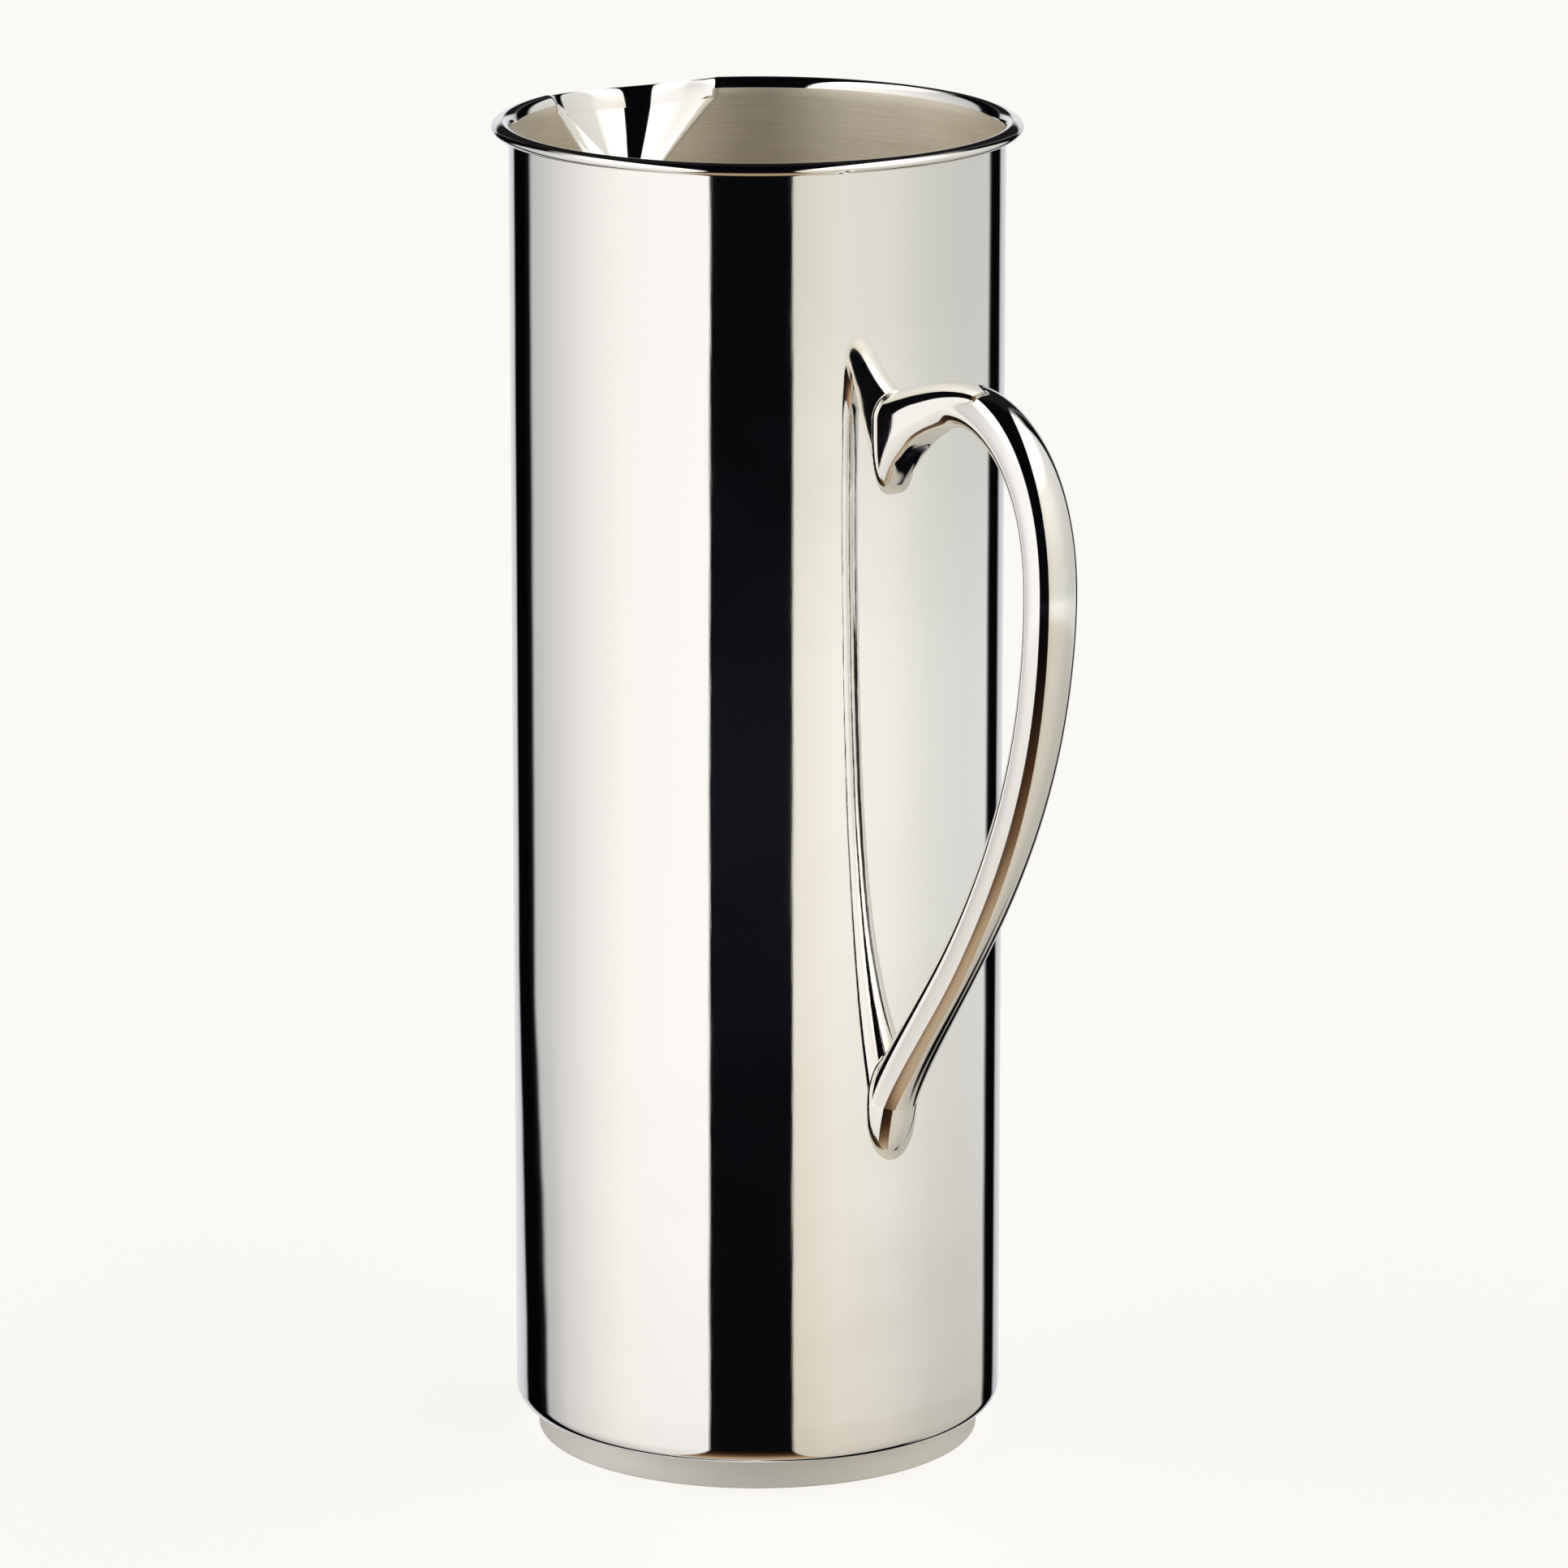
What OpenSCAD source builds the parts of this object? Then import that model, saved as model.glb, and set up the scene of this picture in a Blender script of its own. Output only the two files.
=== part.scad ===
// Straight-sided silver water pitcher: a cylindrical jug with a folded spout,
// a wire-bound lip, a set-in foot and a cast loop handle.
// Millimetres. +Z is up, the origin is the centre of the foot's underside, the handle is
// towards +X and the spout towards -X, so the XZ plane is the plane of symmetry.

/* [Body] */
// Outer diameter of the jug
body_d = 93; // [80:1:110]
// Height from the table to the top of the lip
overall_h = 255; // [235:1:280]
// Thickness of the sheet silver
sheet_t = 0.9; // [0.7:0.1:1.2]
// Height of the seam between the pressed bottom and the tube
seam_h = 14; // [12:1:30]
// Outer radius of the lower edge
edge_r = 3.5; // [2.5:0.5:6]

/* [Foot] */
// Height of the foot ring
foot_h = 5.5; // [4:0.5:8]
// Outer diameter of the foot ring
foot_d = 84.4; // [76:0.2:85]
// Thickness of the foot strip
foot_t = 2; // [1.5:0.5:4]

/* [Lip] */
// Width of the rim wire, measured outwards from the jug's inner face
rim_w = 4.2; // [3:0.1:6]
// Height of the rim wire's inner side, which flares outwards
rim_h = 3.7; // [3:0.1:5]
// Height of the bead on the rim wire's outer side
bead_h = 2.4; // [2:0.1:3]

/* [Spout] */
// Depth of the V notch below the top of the wall
spout_depth = 21.5; // [16:0.5:40]
// Width of the V notch at the top of the wall
spout_w = 33; // [24:1:44]
// How far the nose stands out from the wall
spout_reach = 11.3; // [6:0.1:20]
// How far the nose dips below the lip
spout_drop = 3; // [0:0.5:8]
// Sharpness of the nose: 0 has no crease, 1 makes both flanks flat
nose_crease = 0.2; // [0:0.05:1]
// Fullness of the flanks: they turn back to the wall later as this grows
flank_bulge = 3.5; // [1.5:0.5:6]

/* [Handle] */
// Reach of the handle's centre line from the jug's axis
handle_reach = 97; // [88:1:110]
// Height of the centre line at the top of the arch
arch_z = 212.5; // [200:0.5:220]
// Height of the widest point of the loop
reach_z = 181; // [160:1:190]
// Height of the centre line where it meets the wall at the top
heel_z = 206; // [198:0.5:208]
// Height at which the bar comes to lie on the wall
tongue_z = 76; // [72:1:90]
// Height of the tip of the tongue
tip_z = 64; // [50:1:66]

/* [Hidden] */
$fn = 96;

silver = [0.86, 0.85, 0.82];
satin = [0.74, 0.72, 0.69];

body_r = body_d / 2;
inner_r = body_r - sheet_t;
foot_r = foot_d / 2;
wall_top = overall_h - rim_h;
foot_edge_r = 0.6;
foot_fillet = 0.7;

// ---- Spout -------------------------------------------------------------------------------

notch_foot = wall_top - spout_depth;
half_w = spout_w / 2;
spout_rows = 10;
spout_cols = 28;

// Outline of the lip in plan: 0 at the two ridges, 1 at the nose, with full flanks that
// meet in a soft crease. w runs from -1 to 1 across the notch.
crease_round = 0.06;
function flank(w) =
    let (a = sqrt(w * w + crease_round * crease_round) - crease_round)
    nose_crease * a + (1 - nose_crease) * pow(a, flank_bulge);
function nose(w) = 1 - flank(w) / flank(1);

// Points across the spout crowd together at the nose
function across(i) = let (k = 2 * i / spout_cols - 1) sign(k) * pow(abs(k), 1.3);

// A point of the spout's face that grows out of a cylinder of radius r; v runs from the
// notch's foot (0) to the lip (1)
function spout_point(r, v, w) =
    let (y = v * half_w * w)
    [-(sqrt(r * r - y * y) + v * spout_reach * nose(w)),
     y,
     notch_foot + v * (spout_depth - spout_drop * nose(w))];

module spout_shell() {
    n = spout_cols + 1;
    faces_r = [inner_r, body_r];
    points = [for (r = faces_r) each concat(
        [spout_point(r, 0, 0)],
        [for (j = [1 : spout_rows], i = [0 : spout_cols]) spout_point(r, j / spout_rows, across(i))])];
    side = 1 + spout_rows * n;
    // index of a grid point on face f (0 inner, 1 outer)
    function at(f, j, i) = f * side + (j == 0 ? 0 : 1 + (j - 1) * n + i);
    inner = [for (i = [0 : spout_cols - 1]) each concat(
        [[at(0, 0, 0), at(0, 1, i + 1), at(0, 1, i)]],
        [for (j = [1 : spout_rows - 1]) each [
            [at(0, j, i), at(0, j, i + 1), at(0, j + 1, i + 1)],
            [at(0, j, i), at(0, j + 1, i + 1), at(0, j + 1, i)]]])];
    outer = [for (i = [0 : spout_cols - 1]) each concat(
        [[at(1, 0, 0), at(1, 1, i), at(1, 1, i + 1)]],
        [for (j = [1 : spout_rows - 1]) each [
            [at(1, j, i + 1), at(1, j, i), at(1, j + 1, i + 1)],
            [at(1, j + 1, i + 1), at(1, j, i), at(1, j + 1, i)]]])];
    lip = [for (i = [0 : spout_cols - 1]) each let (j = spout_rows) [
        [at(0, j, i), at(0, j, i + 1), at(1, j, i + 1)],
        [at(0, j, i), at(1, j, i + 1), at(1, j, i)]]];
    ridges = [for (j = [0 : spout_rows - 1]) each let (m = spout_cols) [
        [at(0, j, 0), at(0, j + 1, 0), at(1, j + 1, 0)],
        [at(0, j, 0), at(1, j + 1, 0), at(1, j, 0)],
        [at(0, j + 1, m), at(0, j, m), at(1, j + 1, m)],
        [at(1, j + 1, m), at(0, j, m), at(1, j, m)]]];
    polyhedron(points, [for (f = concat(inner, outer, lip, ridges))
        if (f[0] != f[1] && f[1] != f[2] && f[0] != f[2]) f]);
}

// The V notch, as a wedge that cuts the wall on the spout's side only
module notch() {
    slope = half_w / spout_depth;
    over = 2;
    rotate([90, 0, -90])
        linear_extrude(body_d)
            polygon([[0, notch_foot],
                     [slope * (spout_depth + over), wall_top + over],
                     [-slope * (spout_depth + over), wall_top + over]]);
}

// ---- Rim wire ----------------------------------------------------------------------------

ring_step = 4;
ridge_a = asin(half_w / inner_r);

// Section of the wire: it stands on the sheet's edge, carries a half-round bead outside and
// flares away inside. The first number is outwards from the inner face, the second is up.
rim_mid = rim_w / 2;
rim_section = concat(
    [[0, 0], [sheet_t, 0], [sheet_t, rim_h - bead_h]],
    [for (a = [-90 : 20 : 70]) [rim_mid + rim_mid * cos(a), rim_h + bead_h / 2 * (sin(a) - 1)]],
    [for (a = [90 : -15 : 15]) [rim_mid - rim_mid * cos(a), rim_h * sin(a)]]);

// Inner top edge of the lip, once round from one ridge to the other and back along the spout
lip_path = concat(
    [for (k = [0 : 84]) let (a = -180 + ridge_a + k * (360 - 2 * ridge_a) / 84)
        [inner_r * cos(a), inner_r * sin(a), wall_top]],
    [for (i = [spout_cols - 1 : -1 : 1]) spout_point(inner_r, 1, across(i))]);

function plan(v) = [v[0], v[1]];
function outward(d) = [d[1], -d[0]] / norm(d);

// Mitred outward direction at point i of the lip
function lip_normal(i) =
    let (n = len(lip_path),
         a = outward(plan(lip_path[i] - lip_path[(i + n - 1) % n])),
         b = outward(plan(lip_path[(i + 1) % n] - lip_path[i])),
         m = (a + b) / norm(a + b))
    m / (m * a);

module rim() {
    n = len(lip_path);
    m = len(rim_section);
    points = [for (i = [0 : n - 1], s = rim_section)
        let (d = lip_normal(i)) lip_path[i] + [d[0] * s[0], d[1] * s[0], s[1]]];
    polyhedron(points, [for (i = [0 : n - 1], k = [0 : m - 1]) each
        let (a = i * m + k, b = i * m + (k + 1) % m,
             c = ((i + 1) % n) * m + (k + 1) % m, d = ((i + 1) % n) * m + k)
        [[a, c, b], [a, d, c]]]);
}

// ---- Handle ------------------------------------------------------------------------------

section_points = 24;
tip_round = 9.5;

// Centre line in the plane of symmetry, as curves through four places: the heel, the top of
// the arch, the widest reach and the place where the bar lies on the wall
heel = [38, heel_z - 2.6];
arch = [72, arch_z];
reach = [handle_reach, reach_z];
tongue = [46.4, tongue_z];
tip = [44.6, tip_z];

function curve(a, b, c, d, t) =
    pow(1 - t, 3) * a + 3 * pow(1 - t, 2) * t * b + 3 * (1 - t) * t * t * c + t * t * t * d;

// u counts the places passed: 0 heel, 1 arch, 2 reach, 3 tongue, 4 tip
function centre(u) =
    u <= 1 ? curve(heel, heel + [12, 3.6], arch - [10, 0], arch, u) :
    u <= 2 ? curve(arch, arch + [8.5, 0], reach + [0, 25], reach, u - 1) :
    u <= 3 ? curve(reach, reach - [0, 51.5], tongue + [7.6, 17.3], tongue, u - 2) :
    tongue + (tip - tongue) * (u - 3);

// Half sizes of the bar along the centre line: outer side, inner side and width
outer_half = [[0, 4.4], [0.5, 4.3], [1, 4.15], [2, 4.2], [2.5, 3.8], [3, 4.3], [4, 3.2]];
inner_half = [[0, 16.5], [0.14, 12.4], [0.26, 8.8], [0.34, 7.7], [0.45, 5.9], [0.62, 4.7], [0.8, 4.2],
              [2, 4.2], [2.5, 3.8], [3, 4.1]];
width_half = [[0, 4.4], [0.6, 4.5], [1, 4.9], [2, 5.3], [2.6, 4.05], [3, 5], [4, 4.9]];
// How square the inner side of the section is: 2 is an ellipse
inner_square = [[0.14, 3.2], [0.26, 4.5], [0.62, 4.5], [0.85, 2]];

stations = concat([for (t = [0 : 1 / 16 : 0.999]) t], [for (t = [1 : 1 / 12 : 1.999]) t],
                  [for (t = [2 : 1 / 24 : 3.001]) t], [3.1], [for (a = [0 : 10 : 80]) tip_u(sin(a))],
                  [tip_u(0.995)]);
function tip_u(k) = 4 - (1 - k) * tip_round / norm(tip - tongue);

// The tongue's end closes as a quarter round: 0 where the round starts, 1 at the tip
function round_end(u) = u <= 3 ? 0 : max(0, 1 - (4 - u) * norm(tip - tongue) / tip_round);

function squash(a, power) = sign(a) * pow(abs(a), 2 / power);

function handle_section(u, grow) =
    let (h = 0.01,
         d = centre(min(u + h, 4)) - centre(max(u - h, 0)),
         n = [-d[1], d[0]] / norm(d),
         c = centre(u) + d / norm(d) * grow * round_end(u),
         k = sqrt(1 - pow(round_end(u), 2)),
         out = lookup(u, outer_half) * k + grow,
         in = lookup(u, inner_half) * k + grow,
         wide = lookup(u, width_half) * k + grow,
         power = lookup(u, inner_square))
    [for (i = [0 : section_points - 1])
        let (a = 360 * i / section_points,
             low = sin(a) < 0,
             across_ = wide * (low ? squash(cos(a), power) : cos(a)),
             up = low ? in * squash(sin(a), power) : out * sin(a))
        [c[0] + n[0] * up, across_, c[1] + n[1] * up]];

module handle_bar(places, grow = 0) {
    m = section_points;
    last = len(places) - 1;
    points = [for (u = places) each handle_section(u, grow)];
    sides = [for (j = [0 : last - 1], i = [0 : m - 1]) each
        let (a = j * m + i, b = j * m + (i + 1) % m, c = (j + 1) * m + (i + 1) % m, d = (j + 1) * m + i)
        [[a, c, b], [a, d, c]]];
    ends = [[for (i = [m - 1 : -1 : 0]) last * m + i], [for (i = [0 : m - 1]) i]];
    polyhedron(points, concat(sides, ends));
}

// What is left of its children outside the jug's wall
module off_the_wall() {
    difference() {
        children();
        cylinder(r = body_r, h = overall_h);
    }
}

// A solder seam: a thin collar that hugs the handle where it meets the wall
seam_w = 0.6;
module seam(places) {
    difference() {
        intersection() {
            handle_bar(places, seam_w);
            cylinder(r = body_r + seam_w, h = overall_h);
        }
        cylinder(r = body_r, h = overall_h);
        handle_bar(places);
    }
}

// ---- Pieces ------------------------------------------------------------------------------

module body_wall() {
    color(silver)
        difference() {
            translate([0, 0, seam_h])
                difference() {
                    cylinder(r = body_r, h = wall_top - seam_h);
                    translate([0, 0, -1])
                        cylinder(r = inner_r, h = wall_top);
                }
            notch();
        }
}

module base_dish() {
    floor_z = foot_h + sheet_t;
    color(silver)
        rotate_extrude()
            difference() {
                union() {
                    translate([0, foot_h])
                        square([body_r - edge_r, seam_h - foot_h]);
                    translate([body_r - edge_r - 0.01, foot_h + edge_r])
                        square([edge_r + 0.01, seam_h - foot_h - edge_r]);
                    translate([body_r - edge_r, foot_h + edge_r])
                        intersection() {
                            circle(edge_r);
                            translate([-edge_r / 2, -edge_r])
                                square([edge_r * 1.5, edge_r * 1.5]);
                        }
                }
                translate([0, floor_z])
                    square([body_r - edge_r, seam_h]);
                translate([0, foot_h + edge_r])
                    square([inner_r, seam_h]);
                translate([body_r - edge_r, foot_h + edge_r])
                    circle(edge_r - sheet_t);
            }
}

module foot_ring() {
    color(satin)
        rotate_extrude()
            translate([foot_r - foot_t, 0]) {
                square([foot_t - foot_edge_r, foot_h]);
                translate([0, foot_edge_r])
                    square([foot_t, foot_h - foot_edge_r]);
                translate([foot_t - foot_edge_r, foot_edge_r])
                    circle(foot_edge_r);
            }
}

module foot_seam() {
    color(satin)
        rotate_extrude()
            translate([foot_r, foot_h - foot_fillet])
                polygon([[0, 0], [foot_fillet, foot_fillet], [0, foot_fillet]]);
}

module spout() {
    color(silver)
        spout_shell();
}

module rim_wire() {
    color(silver)
        rim();
}

module handle() {
    color(silver)
        off_the_wall()
            handle_bar(stations);
}

module handle_upper_seam() {
    color(silver)
        seam([for (u = stations) if (u <= 0.44) u]);
}

module handle_lower_seam() {
    color(silver)
        seam([for (u = stations) if (u >= 2.75) u]);
}

body_wall();
base_dish();
foot_ring();
spout();
rim_wire();
handle();
handle_upper_seam();
handle_lower_seam();
foot_seam();
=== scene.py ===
"""Looks of the silver water pitcher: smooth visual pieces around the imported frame, in metres."""

import math

import bmesh
import bpy
import numpy as np
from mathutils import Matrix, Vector


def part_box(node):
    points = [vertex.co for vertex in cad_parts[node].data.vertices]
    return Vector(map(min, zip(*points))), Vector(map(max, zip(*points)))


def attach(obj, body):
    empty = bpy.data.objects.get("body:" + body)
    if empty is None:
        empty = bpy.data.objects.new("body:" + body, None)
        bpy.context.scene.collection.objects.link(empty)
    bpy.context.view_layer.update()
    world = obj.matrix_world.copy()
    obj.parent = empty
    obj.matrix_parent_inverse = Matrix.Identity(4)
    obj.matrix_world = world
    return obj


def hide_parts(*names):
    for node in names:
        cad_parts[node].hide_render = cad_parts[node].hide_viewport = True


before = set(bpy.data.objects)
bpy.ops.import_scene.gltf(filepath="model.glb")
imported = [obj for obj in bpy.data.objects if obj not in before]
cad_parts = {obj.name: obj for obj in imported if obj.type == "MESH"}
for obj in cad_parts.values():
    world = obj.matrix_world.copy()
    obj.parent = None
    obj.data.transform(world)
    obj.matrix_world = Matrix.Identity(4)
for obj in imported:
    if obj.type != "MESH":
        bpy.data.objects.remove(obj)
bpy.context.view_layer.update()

MM = 0.001

# ---- Sizes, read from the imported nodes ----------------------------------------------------

wall_lo, wall_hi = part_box("body_wall")
_, rim_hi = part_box("rim_wire")
_, foot_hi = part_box("foot_ring")
_, dish_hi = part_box("base_dish")
spout_lo, spout_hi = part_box("spout")

R_OUT = wall_hi.x                     # outer face of the wall
SHEET = 0.9 * MM                      # thickness of the sheet silver
R_IN = R_OUT - SHEET
WALL_FOOT, WALL_TOP = wall_lo.z, wall_hi.z
RIM_TOP = rim_hi.z
RIM_W = rim_hi.y - R_IN
FOOT_H, FOOT_R = foot_hi.z, foot_hi.x
NOTCH_FOOT = spout_lo.z
HALF_W = spout_hi.y                   # half width of the notch at the wall's top
SPOUT_DEPTH = WALL_TOP - NOTCH_FOOT
SPOUT_REACH = 11.3 * MM               # how far the nose stands out from the wall
SPOUT_DROP = 3 * MM                   # how far the nose dips below the lip
NOSE_CREASE = 0.2                     # straight share of the flanks' curve
FLANK_BULGE = 3.5                     # fullness of the flanks: 1 is flat
CREASE_ROUND = 0.06                   # rounding of the crease, in half widths
FOLD = 0.35                           # softness of the folds where the spout leaves the wall
BESIDE = 1.3                          # the folds end within this many half widths of the notch
BEAD_H = 2.4 * MM                     # height of the rim wire's outer bead
BASE_EDGE = 3.5 * MM                  # radius of the jug's rounded lower edge
FOOT_T = 2 * MM                       # thickness of the foot strip
SOLDER_LINE = 0.7 * MM                # radius of the solder between foot and base


# ---- Mesh helpers -------------------------------------------------------------------------

def face_outward(mesh):
    """Turns every face's normal to the outside of its closed mesh."""
    bm = bmesh.new()
    bm.from_mesh(mesh)
    bmesh.ops.recalc_face_normals(bm, faces=bm.faces)
    bm.to_mesh(mesh)
    bm.free()


def add_mesh(name, points, faces, material_of=None, sharp=34):
    """A smooth-shaded mesh object; edges that turn more than sharp degrees stay crisp."""
    mesh = bpy.data.meshes.new(name)
    mesh.from_pydata([tuple(p) for p in points], [], [tuple(f) for f in faces])
    mesh.validate()
    if material_of is not None:
        mesh.polygons.foreach_set("material_index", material_of)
    mesh.shade_smooth()
    mesh.set_sharp_from_angle(angle=math.radians(sharp))
    mesh.update()
    obj = bpy.data.objects.new(name, mesh)
    bpy.context.scene.collection.objects.link(obj)
    return obj


def tube_faces(rows, cols, base=0, wrap_rows=False):
    """Quads over a grid whose columns close on themselves."""
    faces = []
    for j in range(rows if wrap_rows else rows - 1):
        for i in range(cols):
            a, b = base + j * cols + i, base + j * cols + (i + 1) % cols
            c = base + ((j + 1) % rows) * cols + (i + 1) % cols
            d = base + ((j + 1) % rows) * cols + i
            faces.append((a, b, c, d))
    return faces


def revolve(name, profile, segments=256, slots=None, sharp=34):
    """A closed ring, or a solid of revolution if the profile's ends lie on the axis.
    profile is (radius, height) pairs; slots gives each strip's material index."""
    on_axis = profile[0][0] < 1e-9
    ring = profile[1:-1] if on_axis else profile
    turn = np.arange(segments) * 2 * math.pi / segments
    points = [(r * math.cos(t), r * math.sin(t), z) for r, z in ring for t in turn]
    faces = tube_faces(len(ring), segments, wrap_rows=not on_axis)
    strips = [j for j in range(len(ring) - (1 if on_axis else 0)) for _ in range(segments)]
    if on_axis:
        for (_, height), row in ((profile[0], 0), (profile[-1], len(ring) - 1)):
            centre = len(points)
            points.append((0, 0, height))
            for i in range(segments):
                a, b = row * segments + i, row * segments + (i + 1) % segments
                faces.append((centre, b, a) if row == 0 else (centre, a, b))
                strips.append(-1 if row == 0 else len(ring) - 1)
    index = None if slots is None else [slots(s) for s in strips]
    return add_mesh(name, points, faces, index, sharp)


def arc(cx, cz, r, start, end, n):
    """n points of an arc about (cx, cz), from angle start to angle end in degrees."""
    return [(cx + r * math.cos(math.radians(a)), cz + r * math.sin(math.radians(a)))
            for a in np.linspace(start, end, n)]


# ---- Spout shape, as in the CAD source ----------------------------------------------------

def flank(w):
    """How far a flank has fallen back at w: 0 at the crease, about 1 at a ridge (w is -1 or 1)."""
    a = np.sqrt(w * w + CREASE_ROUND ** 2) - CREASE_ROUND
    return NOSE_CREASE * a + (1 - NOSE_CREASE) * a ** FLANK_BULGE


def nose(w):
    """The lip's outline in plan: 1 at the nose, fading out over the rounded folds at the ridges."""
    plain = 1 - flank(w) / flank(1.0)
    rounded = (np.clip(plain, -FOLD, FOLD) + FOLD) ** 2 / (4 * FOLD)
    return np.where(plain > FOLD, plain, rounded)


def spout_point(r, v, w):
    """A point of the spout grown from radius r: v is 0 at the notch's foot and 1 at the lip."""
    y = v * HALF_W * w
    return np.stack([-(np.sqrt(r * r - y * y) + v * SPOUT_REACH * nose(w)), y + 0 * v,
                     NOTCH_FOOT + v * (SPOUT_DEPTH - SPOUT_DROP * nose(w))], -1)


def build_spout():
    rows, cols = 72, 140
    k = np.linspace(-1, 1, cols + 1)
    w = np.sign(k) * np.abs(k) ** 1.3                  # closer columns near the crease
    v = (np.arange(1, rows + 1) / rows)[:, None]
    inner = spout_point(R_IN, v, w[None, :] + 0 * v)
    outer = spout_point(R_OUT, v, w[None, :] + 0 * v)[:, ::-1]
    loop = np.concatenate([inner, outer], 1)
    n = loop.shape[1]
    points = list(loop.reshape(-1, 3))
    faces = tube_faces(rows, n)
    apex_in, apex_out = len(points), len(points) + 1
    points += [spout_point(R_IN, np.float64(0), np.float64(0)),
               spout_point(R_OUT, np.float64(0), np.float64(0))]
    half = cols + 1
    for i in range(cols):
        faces.append((i, apex_in, i + 1))
        faces.append((half + i, apex_out, half + i + 1))
    faces.append((cols, apex_in, apex_out, half))
    faces.append((apex_out, apex_in, 0, n - 1))
    top = (rows - 1) * n
    for i in range(cols):
        faces.append((top + i, top + i + 1, top + n - 2 - i, top + n - 1 - i))
    return add_mesh("spout_lip", points, faces)


# ---- Wall with the V notch ----------------------------------------------------------------

def drawn_out(points):
    """Points of the wall, drawn out where the spout's folds reach beside the notch."""
    x, y, z = points[..., 0], points[..., 1], points[..., 2]
    v = np.maximum((z - NOTCH_FOOT) / SPOUT_DEPTH, 1e-6)
    w = np.clip(y / (v * HALF_W), -3, 3)
    share = np.where((z > NOTCH_FOOT) & (x < 0), nose(w) * v, 0)
    return np.stack([x - SPOUT_REACH * share, y, z - SPOUT_DROP * share], -1)


def build_wall():
    slope = HALF_W / SPOUT_DEPTH
    around, low = 280, 20
    # rows of points, by their distance below the notched edge
    below = np.array([12, 9, 7, 5.5, 4.5, 3.7, 3, 2.4, 1.9, 1.5, 1.1, 0.8, 0.5, 0.25, 0]) * MM
    beside = np.linspace(1, BESIDE, 24)[1:]
    near = np.concatenate([-beside[::-1], np.linspace(-1, 1, 81), beside]) * HALF_W
    grids = []
    for r in (R_IN, R_OUT):
        last = math.asin(BESIDE * HALF_W / r)
        rest = np.linspace(last, 2 * math.pi - last, around + 1)[1:-1]
        turn = np.concatenate([np.arcsin(near / r), rest])
        top = np.full(turn.size, WALL_TOP)
        top[:near.size] = np.minimum(WALL_TOP, NOTCH_FOOT + np.abs(near) / slope)
        t = np.linspace(0, 1, low)[:, None]
        z = np.concatenate([WALL_FOOT + t * (top - below[0] - WALL_FOOT), top - below[1:, None]], 0)
        grids.append(drawn_out(np.stack([-r * np.cos(turn) + 0 * z, r * np.sin(turn) + 0 * z, z], -1)))
    rows, n = grids[0].shape[:2]
    grid = np.concatenate([grids[0], grids[1][::-1]], 0)
    faces = tube_faces(2 * rows, n, wrap_rows=True)
    slots = [1 if i // n < rows - 1 else 0 for i in range(len(faces))]
    return add_mesh("jug_wall", grid.reshape(-1, 3), faces, slots)


# ---- Base, foot and the seam between them -------------------------------------------------

def build_base():
    corner = R_OUT - BASE_EDGE
    flat = np.array([0, 0.25, 0.7, 0.94]) * corner
    z0, z1 = FOOT_H, dish_hi.z
    outside = [(r, z0) for r in flat]
    outside += arc(corner, z0 + BASE_EDGE, BASE_EDGE, -90, 0, 15)
    outside += [(R_OUT, z1)]
    inside = [(R_IN, z1)] + arc(corner, z0 + BASE_EDGE, BASE_EDGE - SHEET, 0, -90, 13)
    inside += [(r, z0 + SHEET) for r in flat[::-1]]
    first_inside = len(outside) - 1
    return revolve("base_pressing", outside + inside, 300, lambda s: 1 if s >= first_inside else 0)


def build_foot():
    edge, chamfer = 0.6 * MM, 0.3 * MM
    profile = [(FOOT_R - FOOT_T + chamfer, 0), (FOOT_R - 1.3 * MM, 0), (FOOT_R - 0.9 * MM, 0)]
    profile += arc(FOOT_R - edge, edge, edge, -90, 0, 7)
    profile += [(FOOT_R, 0.4 * FOOT_H), (FOOT_R, 0.8 * FOOT_H), (FOOT_R, FOOT_H),
                (FOOT_R - FOOT_T, FOOT_H), (FOOT_R - FOOT_T, chamfer)]
    return revolve("foot_strip", profile, 256)


def build_foot_seam():
    f, sunk = SOLDER_LINE, FOOT_R - 0.05 * MM
    profile = [(sunk, FOOT_H - f), *arc(FOOT_R + f, FOOT_H - f, f, 180, 90, 9), (sunk, FOOT_H)]
    return revolve("foot_solder_line", profile, 256, sharp=60)


# ---- Rim wire -----------------------------------------------------------------------------

def resample(path, n):
    """n points evenly spaced along a closed path."""
    closed = np.vstack([path, path[:1]])
    s = np.concatenate([[0], np.cumsum(np.linalg.norm(np.diff(closed, axis=0), axis=1))])
    at = np.linspace(0, s[-1], n, endpoint=False)
    return np.stack([np.interp(at, s, closed[:, k]) for k in range(3)], 1)


def soften(values, sigma):
    """Gaussian smoothing of a closed sequence; sigma is in samples."""
    reach = int(4 * sigma) + 1
    kernel = np.exp(-0.5 * (np.arange(-reach, reach + 1) / sigma) ** 2)
    kernel /= kernel.sum()
    padded = np.concatenate([values[-reach:], values, values[:reach]])
    return np.stack([np.convolve(padded[:, k], kernel, "valid") for k in range(values.shape[1])], 1)


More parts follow.
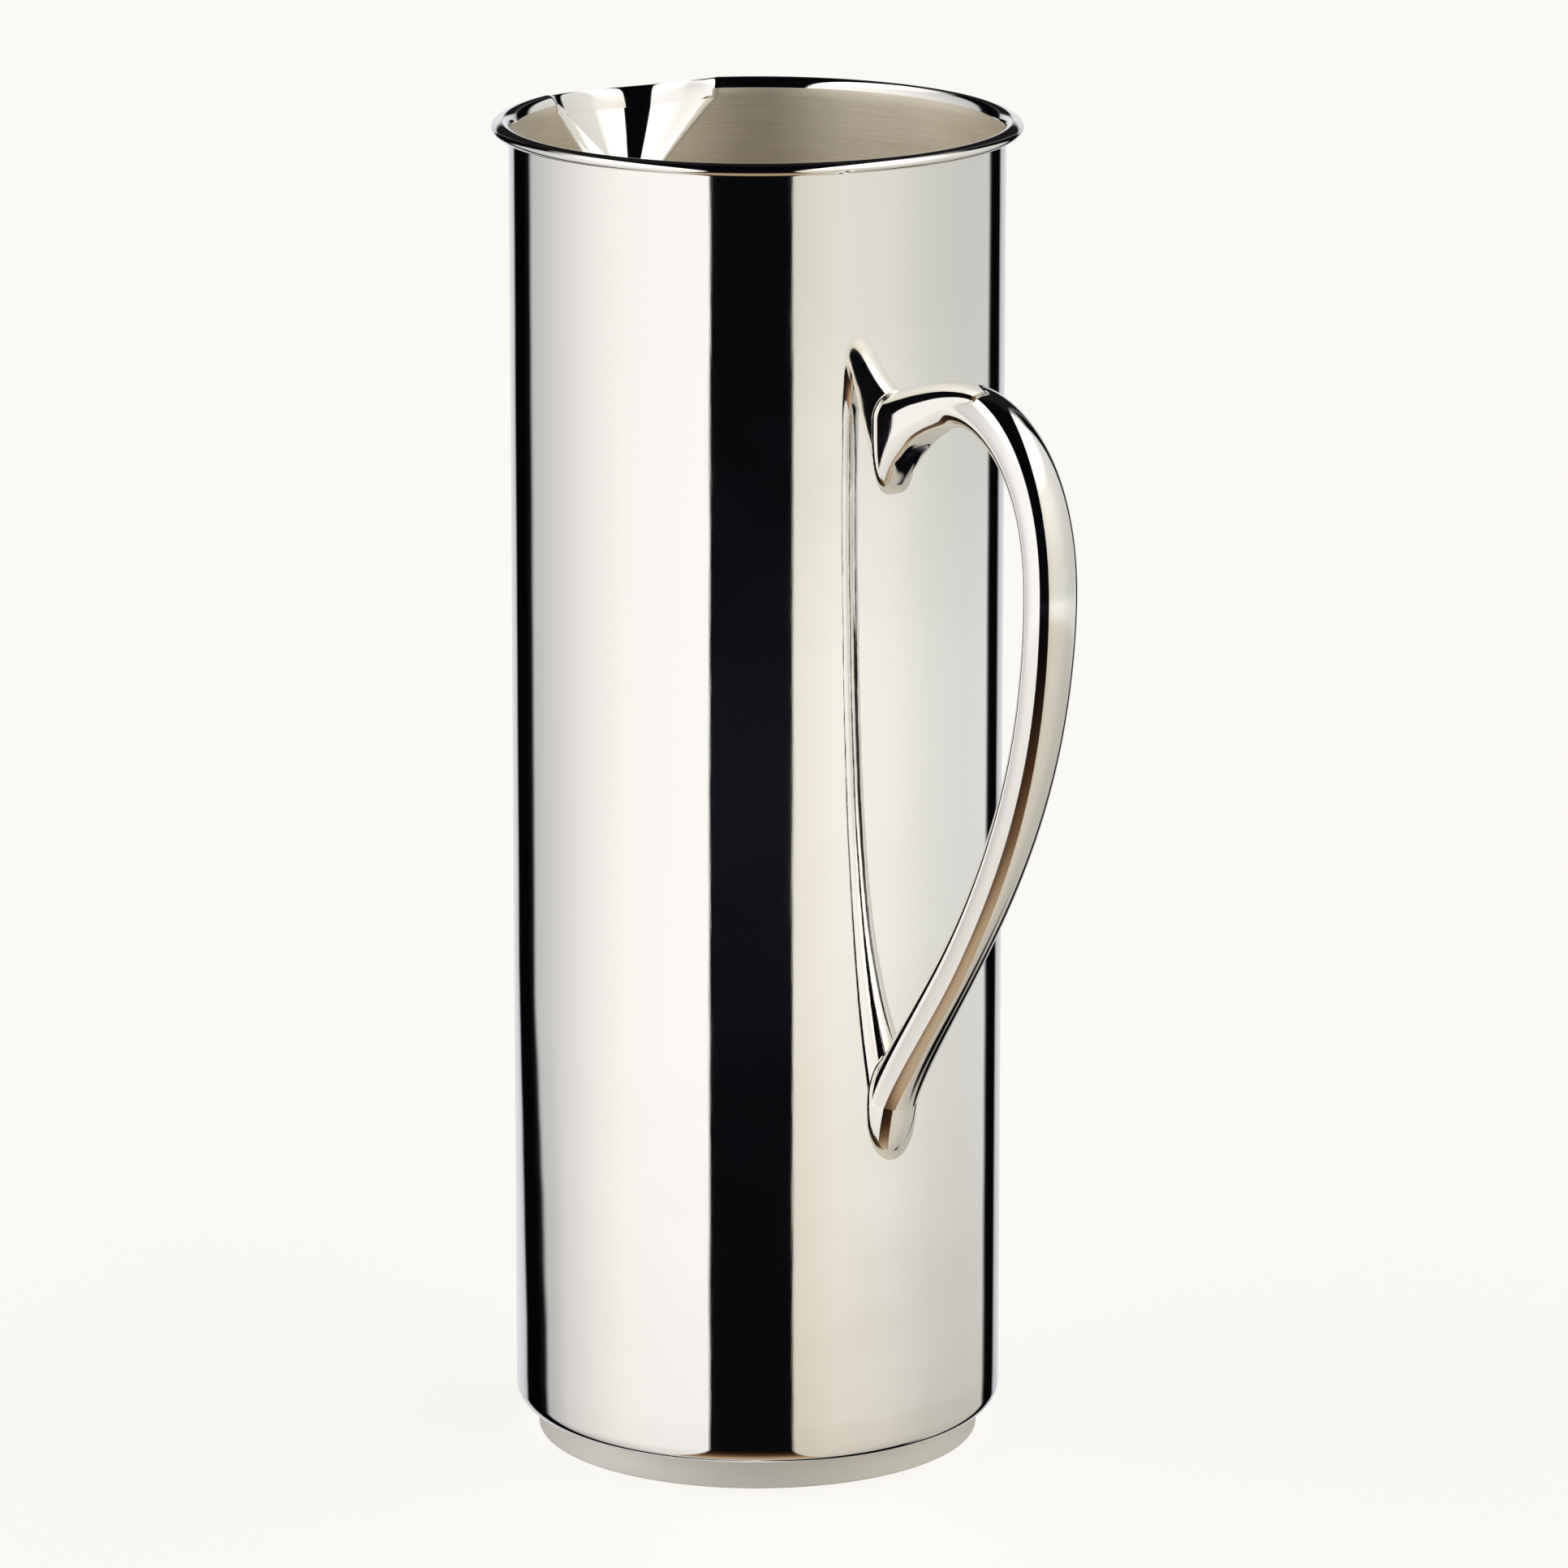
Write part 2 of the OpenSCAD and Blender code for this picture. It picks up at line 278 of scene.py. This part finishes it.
def build_rim():
    last = math.asin(BESIDE * HALF_W / R_IN)
    turn = np.linspace(-math.pi + last, math.pi - last, 900)
    circle = np.stack([R_IN * np.cos(turn), R_IN * np.sin(turn), np.full(turn.size, WALL_TOP)], 1)
    lip = spout_point(R_IN, np.float64(1), np.linspace(BESIDE, -BESIDE, 500)[1:-1])
    n = 1200
    path = resample(np.vstack([circle, lip]), n)
    step = np.linalg.norm(path[1] - path[0])
    path = soften(path, 0.5 * MM / step)
    path[:, 2] = np.minimum(path[:, 2], WALL_TOP)
    along = np.roll(path, -1, 0) - np.roll(path, 1, 0)
    out = np.stack([along[:, 1], -along[:, 0]], 1)
    out /= np.linalg.norm(out, axis=1)[:, None]
    height, mid = RIM_TOP - WALL_TOP, RIM_W / 2
    # the wire's section as (outward, up) pairs: the bead, its slightly narrow crest, the flare
    section = [(0, 0), (SHEET, 0), (SHEET, height - BEAD_H)]
    section += [(mid + mid * math.cos(a), height + BEAD_H / 2 * (math.sin(a) - 1))
                for a in np.radians(np.arange(-90, 0, 6))]
    section += [(mid + mid * math.cos(a) ** 1.25, height + BEAD_H / 2 * (math.sin(a) ** 1.25 - 1))
                for a in np.radians(np.arange(0, 90, 5))]
    outer = len(section)
    turn = np.radians(np.arange(90, 2, -5))
    section += [(mid - mid * math.cos(a), height * math.sin(a)) for a in turn]
    section = np.array(section)
    m = len(section)
    # over the spout the flare carries on at the flank's slope
    t = turn / (math.pi / 2)
    leaning = section.copy()
    leaning[outer:] = np.stack([mid * t, height * (1 - (1 - t) ** 1.3)], 1)
    on_spout = np.clip(nose(path[:, 1] / HALF_W) * 2.5, 0, 1) * (path[:, 0] < 0)
    rings = section + on_spout[:, None, None] * (leaning - section)
    grid = np.empty((n, m, 3))
    grid[:, :, :2] = path[:, None, :2] + out[:, None] * rings[:, :, :1]
    grid[:, :, 2] = path[:, None, 2] + rings[:, :, 1]
    # the flare's lowest strip is brushed like the jug's inside
    brushed_from = m - 1 - int((turn < math.radians(26)).sum())
    slots = [1 if i % m >= brushed_from and on_spout[i // m] < 0.05 else 0 for i in range(n * m)]
    return add_mesh("rim_bead", grid.reshape(-1, 3), tube_faces(n, m, wrap_rows=True), slots)


# ---- Handle, after the CAD source's curve and tables --------------------------------------
# Lengths in this section and the next are in millimetres. A place u on the handle is 0 at the
# heel, 1 at the arch, 2 at its farthest reach, 3 at the tongue's shoulder and 4 at its tip.

HEEL, ARCH, REACH = np.array([38.0, 203.4]), np.array([72.0, 212.5]), np.array([97.0, 181.0])
TONGUE, TIP = np.array([46.4, 76.0]), np.array([44.6, 64.0])
TONGUE_LENGTH = np.linalg.norm(TIP - TONGUE)
TIP_ROUND = 9.5                       # the tongue closes over this length
# half thickness outward, inward and sideways, and the power of the inner half's section
OUTER_HALF = ([0, .5, 1, 2, 2.5, 3, 4], [4.4, 4.3, 4.15, 4.2, 3.8, 4.3, 3.2])
INNER_HALF = ([0, .14, .26, .34, .45, .62, .8, 2, 2.5, 3, 4],
              [16.5, 12.4, 8.8, 7.7, 5.9, 4.7, 4.2, 4.2, 3.8, 4.1, 4.1])
WIDTH_HALF = ([0, .6, 1, 2, 2.6, 3, 4], [4.4, 4.5, 4.9, 5.3, 4.05, 5, 4.9])
INNER_SQUARE = ([0, .14, .26, .62, .85, 4], [3.2, 3.2, 4.5, 4.5, 2, 2])


def bezier(a, b, c, d, t):
    t = t[:, None]
    return (1 - t) ** 3 * a + 3 * (1 - t) ** 2 * t * b + 3 * (1 - t) * t * t * c + t ** 3 * d


def handle_line(u):
    """The centre line in the XZ plane, as drawn."""
    u = np.asarray(u, float)
    p = np.zeros((u.size, 2))
    for low, high, ends in (
            (0, 1, (HEEL, HEEL + [12, 3.6], ARCH - [10, 0], ARCH)),
            (1, 2, (ARCH, ARCH + [8.5, 0], REACH + [0, 25], REACH)),
            (2, 3, (REACH, REACH - [0, 51.5], TONGUE + [7.6, 17.3], TONGUE))):
        m = (u >= low) & (u <= high)
        p[m] = bezier(*ends, u[m] - low)
    m = u > 3
    p[m] = TONGUE + (TIP - TONGUE) * (u[m] - 3)[:, None]
    return p


def bell(reach, sigma):
    """Offsets up to reach on both sides, with the weights of a bell curve that add up to 1."""
    offsets = np.linspace(-reach, reach, 25)
    weights = np.exp(-0.5 * (offsets / sigma) ** 2)
    return list(zip(offsets, weights / weights.sum()))


def smooth_table(u, table):
    """The table's values with its corners rounded."""
    return sum(weight * np.interp(u + offset, *table) for offset, weight in bell(0.12, 0.05))


def smooth_line(u):
    """The centre line with the changes of curvature at its places evened out."""
    share = np.clip(np.minimum(u - 0.15, 3.0 - u) / 0.3, 0, 1)[:, None]
    soft = sum(weight * handle_line(np.clip(u + offset, 0, 4)) for offset, weight in bell(0.15, 0.06))
    return handle_line(u) * (1 - share) + soft * share


def line_axes(u, step=0.01):
    """The centre line's points, its directions and its outward normals at u."""
    along = smooth_line(np.minimum(u + step, 4)) - smooth_line(np.maximum(u - step, 0))
    along /= np.linalg.norm(along, axis=1)[:, None]
    return smooth_line(u), along, np.stack([-along[:, 1], along[:, 0]], 1)


def handle_sections(u, cols):
    """The bar's sections at u, in metres: round outside, squarer inside, closing at the tip."""
    c, _, normal = line_axes(u)
    closing = np.clip(1 - (4 - u) * TONGUE_LENGTH / TIP_ROUND, 0, 1)
    k = np.sqrt(np.maximum(1 - closing ** 2, 1e-6))
    out, inn, wide = (smooth_table(u, t) * k for t in (OUTER_HALF, INNER_HALF, WIDTH_HALF))
    power = smooth_table(u, INNER_SQUARE)
    a = np.arange(cols) * 2 * math.pi / cols
    s, co = np.sin(a)[None, :], np.cos(a)[None, :]
    low = s < -1e-9
    exponent = 2 / power[:, None]
    y = wide[:, None] * np.where(low, np.sign(co) * np.abs(co) ** exponent, co)
    up = np.where(low, -inn[:, None] * np.abs(s) ** exponent, out[:, None] * s)
    return np.stack([c[:, :1] + normal[:, :1] * up, y, c[:, 1:] + normal[:, 1:] * up], -1) * MM


def cut_by_wall(obj, radius):
    """Takes away what lies inside the jug's wall."""
    bpy.ops.mesh.primitive_cylinder_add(vertices=720, radius=radius, depth=0.3, location=(0, 0, 0.14))
    cutter = bpy.context.object
    boolean = obj.modifiers.new("wall", "BOOLEAN")
    boolean.operation, boolean.solver, boolean.object = "DIFFERENCE", "EXACT", cutter
    depsgraph = bpy.context.evaluated_depsgraph_get()
    mesh = bpy.data.meshes.new_from_object(obj.evaluated_get(depsgraph))
    obj.modifiers.clear()
    obj.data = mesh
    bpy.data.objects.remove(cutter)
    mesh.shade_smooth()
    mesh.set_sharp_from_angle(angle=math.radians(40))
    return obj


def build_handle():
    cols = 96
    tip_step = TIP_ROUND / TONGUE_LENGTH
    u = np.concatenate([np.linspace(0, 1, 81)[:-1], np.linspace(1, 2, 61)[:-1],
                        np.linspace(2, 3, 91)[:-1], np.linspace(3, 4 - tip_step, 12)[:-1],
                        4 - tip_step * (1 - np.sin(np.linspace(0, math.radians(86), 40)))])
    grid = handle_sections(u, cols)
    faces = tube_faces(len(u), cols)
    faces.append(tuple(range(cols - 1, -1, -1)))
    faces.append(tuple((len(u) - 1) * cols + i for i in range(cols)))
    obj = add_mesh("handle_casting", grid.reshape(-1, 3), faces)
    face_outward(obj.data)
    return cut_by_wall(obj, R_OUT - 0.04 * MM)


# ---- Solder fillets where the handle meets the wall ---------------------------------------

FIELD_U = np.linspace(0, 4, 1601)
FIELD_LINE = smooth_line(FIELD_U)


def bar_field(points, grow):
    """Below 0 inside the bar grown by grow (mm), above 0 outside, for points in mm."""
    plan = points[:, [0, 2]]
    gap = np.linalg.norm(plan[:, None] - FIELD_LINE[None], axis=2)
    near = FIELD_U[np.argmin(gap, 1)]
    c, direction, normal = line_axes(near)
    along = ((plan - c) * direction).sum(1)
    up = ((plan - c) * normal).sum(1)
    # how far the point lies in the closing of the tip: 1 at the tip, more past the line's end
    beyond = np.clip(1 - ((4 - near) * TONGUE_LENGTH - along * (near >= 3.999)) / TIP_ROUND, 0, None)
    beyond = beyond * TIP_ROUND / (TIP_ROUND + grow)
    inside_k = np.sqrt(np.clip(1 - beyond ** 2, 1e-6, 1))
    half = np.where(up > 0, smooth_table(near, OUTER_HALF), smooth_table(near, INNER_HALF))
    half = half * inside_k + grow
    wide = smooth_table(near, WIDTH_HALF) * inside_k + grow
    power = np.where(up > 0, 2, smooth_table(near, INNER_SQUARE))
    f = (np.abs(points[:, 1]) / wide) ** power + (np.abs(up) / half) ** power - 1
    return np.where(beyond >= 1, 1.0, f)


def outline_on_wall(radius, grow, z0, n=220, far=22.0):
    """The bar's outline on the cylinder of that radius (mm), seen from the point at height z0."""
    phi = np.arange(n) * 2 * math.pi / n
    lo, hi = np.zeros(n), np.full(n, far)
    for _ in range(22):
        mid = (lo + hi) / 2
        turn = mid * np.cos(phi) / radius
        p = np.stack([radius * np.cos(turn), radius * np.sin(turn), z0 + mid * np.sin(phi)], 1)
        inside = bar_field(p, grow) < 0
        lo, hi = np.where(inside, mid, lo), np.where(inside, hi, mid)
    return p


def build_solder(name, z0, size=0.6):
    """A hollow fillet of that size round the bar, which meets the wall round the height z0."""
    radius = round(R_OUT / MM, 3)
    contact = outline_on_wall(radius, 0, z0)
    on_wall = outline_on_wall(radius, size, z0)
    on_bar = outline_on_wall(radius + size, 0, z0)
    shrink = (radius - 0.04) / radius
    t = np.linspace(0, 1, 9)[:, None, None]
    corner = contact + 0.22 * ((on_wall - contact) + (on_bar - contact))
    strip = (1 - t) ** 2 * on_bar + 2 * t * (1 - t) * corner + t * t * on_wall
    sunk = on_wall * [shrink, shrink, 1]
    deep = contact * [shrink, shrink, 1]
    centre = np.array([radius * shrink, 0, z0])
    deep = deep + (centre - deep) * 0.03
    lifted = on_bar + (np.array([radius + size, 0, z0]) - on_bar) * 0.03
    rows = np.concatenate([strip, sunk[None], deep[None], lifted[None]], 0)
    faces = tube_faces(rows.shape[0], rows.shape[1], wrap_rows=True)
    obj = add_mesh(name, rows.reshape(-1, 3) * MM, faces, sharp=50)
    face_outward(obj.data)
    return obj


# ---- Materials ----------------------------------------------------------------------------

class Nodes:
    """Shorthand for building a node tree."""

    def __init__(self, tree):
        self.tree = tree
        tree.nodes.clear()

    def add(self, kind, inputs=(), **settings):
        node = self.tree.nodes.new(kind)
        for key, value in settings.items():
            setattr(node, key, value)
        for key, value in dict(inputs).items():
            if isinstance(value, bpy.types.NodeSocket):
                self.tree.links.new(value, node.inputs[key])
            else:
                node.inputs[key].default_value = value
        return node

    def math(self, operation, a, b=0.0, c=0.0):
        node = self.add("ShaderNodeMath", {0: a, 1: b, 2: c}, operation=operation)
        return node.outputs[0]

    def spread(self, value, low, high, to_low, to_high):
        node = self.add("ShaderNodeMapRange", {"Value": value, "From Min": low, "From Max": high,
                                               "To Min": to_low, "To Max": to_high})
        return node.outputs["Result"]

    def noise(self, vector, scale, detail=3.0, rough=0.5):
        node = self.add("ShaderNodeTexNoise", {"Vector": vector, "Scale": scale, "Detail": detail,
                                               "Roughness": rough})
        return node.outputs["Fac"]

    def mix(self, share, first, second, **settings):
        """Mixes two colours: first at 0, second at 1."""
        node = self.add("ShaderNodeMix", {0: share, 6: first, 7: second}, data_type="RGBA", **settings)
        return node.outputs[2]

    def bump(self, height, distance, normal=None):
        inputs = {"Height": height, "Strength": 1.0, "Distance": distance}
        if normal is not None:
            inputs["Normal"] = normal
        return self.add("ShaderNodeBump", inputs).outputs["Normal"]


def stretched(n, coords, scale):
    """Object coordinates, stretched so that a noise over them makes streaks."""
    return n.add("ShaderNodeMapping", {"Vector": coords, "Scale": scale}).outputs["Vector"]


def round_coords(n, coords):
    """Angle round the axis, height and radius in metres, so that streaks run round the jug."""
    parts = n.add("ShaderNodeSeparateXYZ", {"Vector": coords}).outputs
    turn = n.math("ARCTAN2", parts["Y"], parts["X"])
    radius = n.math("SQRT", n.math("ADD", n.math("MULTIPLY", parts["X"], parts["X"]),
                                   n.math("MULTIPLY", parts["Y"], parts["Y"])))
    wrapped = n.math("MULTIPLY", n.math("ABSOLUTE", turn), R_IN)
    return n.add("ShaderNodeCombineXYZ", {"X": wrapped, "Y": parts["Z"], "Z": radius}).outputs["Vector"]


def metal(name, colour, roughness, build, anisotropy=0.0):
    """A metal; build(nodes, coordinates, shader) adds its surface detail."""
    material = bpy.data.materials.new(name)
    material.use_nodes = True
    n = Nodes(material.node_tree)
    out = n.add("ShaderNodeOutputMaterial")
    shader = n.add("ShaderNodeBsdfPrincipled", {"Base Color": (*colour, 1), "Metallic": 1.0,
                                                "Roughness": roughness, "Anisotropic": anisotropy,
                                                "Anisotropic Rotation": 0.25})
    n.tree.links.new(shader.outputs["BSDF"], out.inputs["Surface"])
    coords = n.add("ShaderNodeTexCoord").outputs["Object"]
    build(n, coords, shader)
    return material


def join(n, value, shader, socket):
    n.tree.links.new(value, shader.inputs[socket])


def polished(wave, hairline):
    """Hand-polished silver: slow waves left by planishing, hairlines and faint smears.
    wave and hairline are their heights in metres."""
    def build(n, coords, shader):
        slow = n.noise(coords, 26.0, 1.5)
        smears = n.noise(stretched(n, coords, (160, 160, 34)), 1.0, 4.0, 0.6)
        fine = n.noise(stretched(n, coords, (2600, 2600, 220)), 1.0, 2.0)
        cross = n.noise(stretched(n, coords, (700, 700, 5200)), 1.0, 2.0)
        dull = n.math("MULTIPLY_ADD", fine, 0.45, smears)
        join(n, n.spread(dull, 0.5, 1.05, 0.018, 0.07), shader, "Roughness")
        normal = n.bump(slow, wave)
        normal = n.bump(n.math("ADD", fine, cross), hairline, normal)
        join(n, normal, shader, "Normal")
    return build


def brushed(streak):
    """The jug's inside, dressed with a cloth wheel: streaks that run round it."""
    def build(n, coords, shader):
        turned = round_coords(n, coords)
        streaks = n.noise(stretched(n, turned, (90, 3800, 3800)), 1.0, 4.0, 0.65)
        broad = n.noise(stretched(n, turned, (22, 520, 520)), 1.0, 3.0)
        join(n, n.spread(streaks, 0.25, 0.75, 0.46, 0.62), shader, "Roughness")
        pale = n.spread(n.math("MULTIPLY_ADD", broad, 0.6, streaks), 0.55, 1.05, 0, 1)
        tone = n.mix(pale, (0.88, 0.82, 0.70, 1), (1.0, 0.945, 0.835, 1))
        join(n, tone, shader, "Base Color")
        join(n, n.bump(n.math("ADD", streaks, broad), streak), shader, "Normal")
    return build


def satin(n, coords, shader):
    """A satin finish: fine grain, streaked round the foot, with a few brighter rubs."""
    turned = round_coords(n, coords)
    grain = n.noise(stretched(n, turned, (420, 5200, 5200)), 1.0, 3.0, 0.6)
    rubs = n.noise(stretched(n, turned, (60, 300, 300)), 1.0, 3.0)
    join(n, n.spread(n.math("ADD", grain, rubs), 0.6, 1.4, 0.68, 0.86), shader, "Roughness")
    join(n, n.bump(grain, 0.02 * MM), shader, "Normal")


def soldered(n, coords, shader):
    """Solder is a little greyer than the sheet, and its fillet is not quite even."""
    lumps = n.noise(coords, 620.0, 2.0)
    join(n, n.spread(lumps, 0.3, 0.7, 0.07, 0.2), shader, "Roughness")
    join(n, n.bump(lumps, 0.06 * MM), shader, "Normal")


SILVER = (0.955, 0.945, 0.92)
silver_wall = metal("silver_polished", SILVER, 0.03, polished(0.00016, 0.0000012))
silver_bar = metal("silver_polished_cast", SILVER, 0.04, polished(0.00010, 0.0000015))
silver_inside = metal("silver_brushed", (0.93, 0.88, 0.77), 0.55, brushed(0.00003), 0.5)
silver_foot = metal("silver_satin", (0.93, 0.92, 0.89), 0.75, satin)
silver_solder = metal("silver_solder", (0.90, 0.88, 0.83), 0.12, soldered)


def place(obj, slot, nodes, *materials):
    """Gives a piece its materials and hangs it on the part in place of its CAD nodes."""
    for material in materials:
        obj.data.materials.append(material)
    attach(obj, "root")
    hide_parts(*nodes)
    return obj


place(build_wall(), "body_silver", ["body_wall"], silver_wall, silver_inside)
place(build_base(), "base_silver", ["base_dish"], silver_wall, silver_inside)
place(build_foot(), "foot_satin", ["foot_ring"], silver_foot)
place(build_foot_seam(), "foot_solder", ["foot_seam"], silver_foot)
place(build_spout(), "spout_silver", ["spout"], silver_wall)
place(build_rim(), "rim_silver", ["rim_wire"], silver_bar, silver_inside)
place(build_handle(), "handle_silver", ["handle"], silver_bar)
place(build_solder("heel_solder", 201.5), "solder", ["handle_upper_seam"], silver_solder)
place(build_solder("tongue_solder", 71), "solder", ["handle_lower_seam"], silver_solder)


# ---- Studio: floor, world and light -------------------------------------------------------

CAMERA_AZIMUTH = math.radians(57)
CAMERA_DOWN = math.radians(14.03)     # how far the camera looks down
CAMERA_AWAY, CAMERA_UP = 1.6663, 0.5433
toward = Vector((math.sin(CAMERA_AZIMUTH), -math.cos(CAMERA_AZIMUTH), 0))
PALE = (0.956, 0.940, 0.905)          # the pale paper that the jug stands on and in front of
SILVER_SHARE = 0.95                   # share of the light that polished silver gives back


def linear(v):
    """The linear value of a display tone from 0 to 255."""
    v = v / 255
    return v / 12.92 if v <= 0.04045 else ((v + 0.055) / 1.055) ** 2.4


def build_floor():
    bpy.ops.mesh.primitive_plane_add(size=16, location=(0, 0, -0.0001))
    floor = bpy.context.object
    floor.name = "floor"
    material = bpy.data.materials.new("floor_paper")
    material.use_nodes = True
    n = Nodes(material.node_tree)
    out = n.add("ShaderNodeOutputMaterial")
    lit = n.add("ShaderNodeBsdfDiffuse", {"Color": (0.24, 0.238, 0.232, 1)})
    glow = n.add("ShaderNodeEmission", {"Color": (*PALE, 1), "Strength": 0.865})
    both = n.add("ShaderNodeAddShader", {0: lit.outputs[0], 1: glow.outputs[0]})
    n.tree.links.new(both.outputs[0], out.inputs["Surface"])
    floor.data.materials.append(material)
    floor.visible_glossy = False


# Cards round the jug, by the angle from the camera's side, positive to the camera's right:
# (angle in degrees, red, green, blue), as the display tones of their reflection in the silver
CARDS = [
    (-180, 228, 228, 232), (-168, 219, 219, 223), (-161, 208, 208, 212), (-157, 190, 190, 194),
    (-154.5, 5, 5, 7), (-139, 4, 4, 6), (-133, 20, 20, 22), (-129.5, 188, 188, 188),
    (-104, 216, 214, 212), (-80, 239, 237, 234), (-64, 249, 247, 244), (-30, 252, 250, 249),
    (-10, 252, 250, 248), (10, 224, 220, 208), (20, 237, 233, 221), (38, 246, 243, 235),
    (64, 240, 239, 234), (90, 224, 224, 220), (112, 219, 219, 216), (135, 220, 220, 219),
    (138.5, 30, 30, 31), (141, 6, 6, 9), (152.5, 7, 7, 10), (156, 190, 190, 194),
    (168, 218, 218, 221), (180, 228, 228, 232),
]

# How the cards' brightness changes with height: (elevation in degrees, red, green, blue)
RIGHT_FALL = [(-70, 0.66, 0.62, 0.56), (-22, 0.70, 0.67, 0.62), (-17.9, 0.75, 0.72, 0.675),
              (-17.3, 0.83, 0.81, 0.78), (-16.4, 0.90, 0.89, 0.87), (-15.3, 0.94, 0.935, 0.925),
              (-13.6, 1, 1, 1), (-12, 0.87, 0.87, 0.86), (-10.7, 0.80, 0.80, 0.79),
              (0, 0.80, 0.79, 0.76), (30, 1, 0.99, 0.97)]
LEFT_FALL = [(-45, 0.80, 0.79, 0.77), (-18.5, 0.90, 0.895, 0.89), (-16, 1, 1, 1),
             (-10, 0.98, 0.98, 0.98), (20, 1, 1, 1)]
# The dark gap between the cards, from the brown table in front of the jug up to the ceiling
GAP = [(-90, 0.55, 0.44, 0.32), (-72, 0.42, 0.30, 0.18), (-58, 0.16, 0.09, 0.045),
       (-46, 0.06, 0.028, 0.012), (-34, 0.02, 0.01, 0.006), (-24, 0.004, 0.003, 0.003),
       (-16.5, 0.003, 0.003, 0.004), (-14, 0.008, 0.008, 0.012), (-12, 0.003, 0.003, 0.004),
       (20, 0.002, 0.002, 0.003)]
CEILING = (1.5, 1.47, 1.42, 1)
RIGHT_FLAG = (0.003, 0.003, 0.004, 1)
DARK_ROOM = (0.012, 0.011, 0.011, 1)


def ramp(n, value, stops):
    """A colour ramp over value, from (position, red, green, blue) stops."""
    node = n.add("ShaderNodeValToRGB", {"Fac": value})
    elements = node.color_ramp.elements
    while len(elements) < len(stops):
        elements.new(0.5)
    for element, (position, *rgb) in zip(elements, stops):
        element.position = position
        element.color = (*rgb, 1)
    return node.outputs["Color"]


def build_world():
    """The studio, painted by the direction that it is seen in from the jug."""
    world = bpy.data.worlds.new("studio")
    bpy.context.scene.world = world
    world.use_nodes = True
    n = Nodes(world.node_tree)
    out = n.add("ShaderNodeOutputWorld")
    direction = n.add("ShaderNodeTexCoord").outputs["Generated"]
    turned = n.add("ShaderNodeMapping", {"Vector": direction,
                                         "Rotation": (0, 0, -(CAMERA_AZIMUTH - math.pi / 2))},
                   vector_type="POINT").outputs["Vector"]
    parts = n.add("ShaderNodeSeparateXYZ", {"Vector": turned}).outputs
    deg = math.radians
    angle = n.math("ARCTAN2", parts["Y"], parts["X"])
    height = n.math("ARCSINE", parts["Z"])
    level = n.math("MULTIPLY_ADD", height, 1 / math.pi, 0.5)

    # the left flag leans: it stands further to the left higher up
    left_side = n.spread(angle, deg(-112), deg(-104), 1, 0)
    lean = n.math("MULTIPLY", left_side, n.spread(height, deg(-17.4), deg(-15.2), deg(-10.5), deg(-0.5)))
    share = n.math("MULTIPLY_ADD", n.math("ADD", angle, lean), 1 / (2 * math.pi), 0.5)
    stops = [(a / 360 + 0.5, *(linear(v) / SILVER_SHARE for v in rgb)) for a, *rgb in CARDS]
    cards = ramp(n, share, stops)

    def by_height(stops):
        return ramp(n, level, [(e / 180 + 0.5, *rgb) for e, *rgb in stops])

    on_right = n.math("MULTIPLY", n.spread(angle, deg(2), deg(10), 0, 1),
                      n.spread(angle, deg(138), deg(150), 1, 0))
    fall = n.mix(on_right, by_height(LEFT_FALL), by_height(RIGHT_FALL))
    lit = n.mix(1.0, cards, fall, blend_type="MULTIPLY")
    lit = n.mix(n.spread(height, deg(38), deg(56), 0, 1), lit, CEILING)

    # the dark gap runs from the table in front up over the ceiling, as a band of even width
    sideways = n.math("ARCSINE", parts["Y"])
    front = n.math("MAXIMUM", n.spread(parts["X"], 0, 0.04, 0, 1), n.spread(height, deg(20), deg(30), 0, 1))
    gap = n.math("MULTIPLY", n.spread(sideways, deg(-22.3), deg(-20.9), 0, 1),
                 n.spread(sideways, deg(15.2), deg(16.6), 1, 0))
    lit = n.mix(n.math("MULTIPLY", gap, front), lit, by_height(GAP))

    # the right-hand flag is wider where it stands on the table
    flag = n.math("MULTIPLY", n.spread(height, deg(-54), deg(-46), 1, 0),
                  n.math("MULTIPLY", n.spread(angle, deg(112), deg(118), 0, 1),
                         n.spread(angle, deg(158), deg(164), 1, 0)))
    lit = n.mix(flag, lit, RIGHT_FLAG)

    # behind the jug, above the paper's far edge, the room is dark
    aside = n.math("ABSOLUTE", angle)
    room = n.math("MULTIPLY", n.spread(aside, deg(146), deg(158), 0, 1),
                  n.math("MULTIPLY", n.spread(height, deg(9), deg(12), 0, 1),
                         n.spread(height, deg(52), deg(64), 1, 0)))
    lit = n.mix(room, lit, DARK_ROOM)

    seen = n.add("ShaderNodeLightPath").outputs["Is Camera Ray"]
    shown = n.mix(seen, lit, (*PALE, 1))
    light = n.add("ShaderNodeBackground", {"Color": shown, "Strength": 1.0})
    n.tree.links.new(light.outputs[0], out.inputs["Surface"])


def build_camera():
    data = bpy.data.cameras.new("camera")
    data.sensor_width, data.lens = 36, 207.3
    data.shift_x = 0.0169
    data.clip_start, data.clip_end = 0.05, 50
    camera = bpy.data.objects.new("camera", data)
    camera.location = toward * CAMERA_AWAY + Vector((0, 0, CAMERA_UP))
    camera.rotation_euler = (math.pi / 2 - CAMERA_DOWN, 0, CAMERA_AZIMUTH)
    bpy.context.scene.collection.objects.link(camera)
    bpy.context.scene.camera = camera


build_floor()
build_world()
build_camera()
scene = bpy.context.scene
scene.view_settings.view_transform = "Standard"
scene.cycles.glossy_bounces = 12
